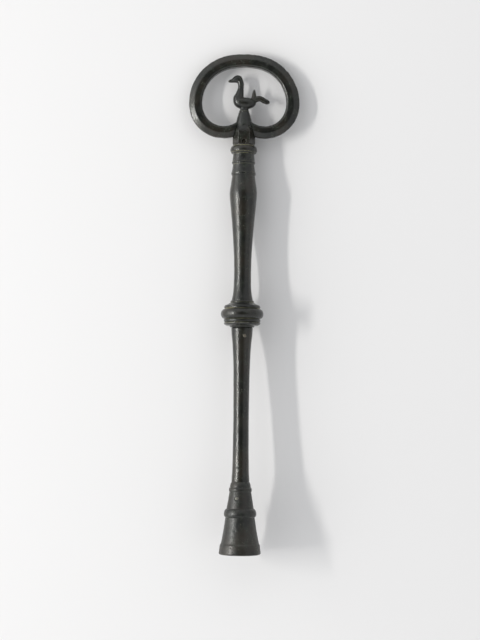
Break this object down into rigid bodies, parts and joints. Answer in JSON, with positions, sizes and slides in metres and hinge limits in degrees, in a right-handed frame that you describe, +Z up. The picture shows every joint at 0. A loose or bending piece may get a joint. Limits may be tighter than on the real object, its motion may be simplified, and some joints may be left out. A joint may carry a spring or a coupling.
{
  "type": "bronze socket key",
  "caption": "Long cast-bronze key: kidney-shaped bow around a small standing bird, turned grip, knop and stem, and a flared foot with a square socket.",
  "frame": {"origin": "on the surface that the key lies on, under the middle of its bounding box", "axes": "+Y runs from the foot towards the bow, +Z is up from the surface, and the bird faces -X"},
  "size_m": [0.0494, 0.2224, 0.0266],
  "materials": {
    "foot_bronze": "dark green-brown patina, pitted, half gloss",
    "shaft_bronze": "dark green-black patina, waxed gloss with fine pits",
    "knop_bronze": "dark patina with worn rims",
    "ferrule_bronze": "dark patina with green verdigris in the grooves",
    "block_bronze": "dark patina, verdigris in the corners",
    "bow_bronze": "dark brown-green patina, pitted, worn bevels",
    "bird_bronze": "dark patina, softened by handling",
    "pin_bronze": "cut pin ends, dull and slightly lighter"
  },
  "bodies": {
    "root": {"socket_foot": "foot_bronze", "lower_stem": "shaft_bronze", "knop": "knop_bronze", "grip": "shaft_bronze", "neck_ferrule": "ferrule_bronze", "bow_block": "block_bronze", "bow_loop": "bow_bronze", "bird_figure": "bird_bronze", "foot_pin": "pin_bronze", "stem_pin": "pin_bronze", "bow_pin": "pin_bronze"}
  },
  "joints": []
}
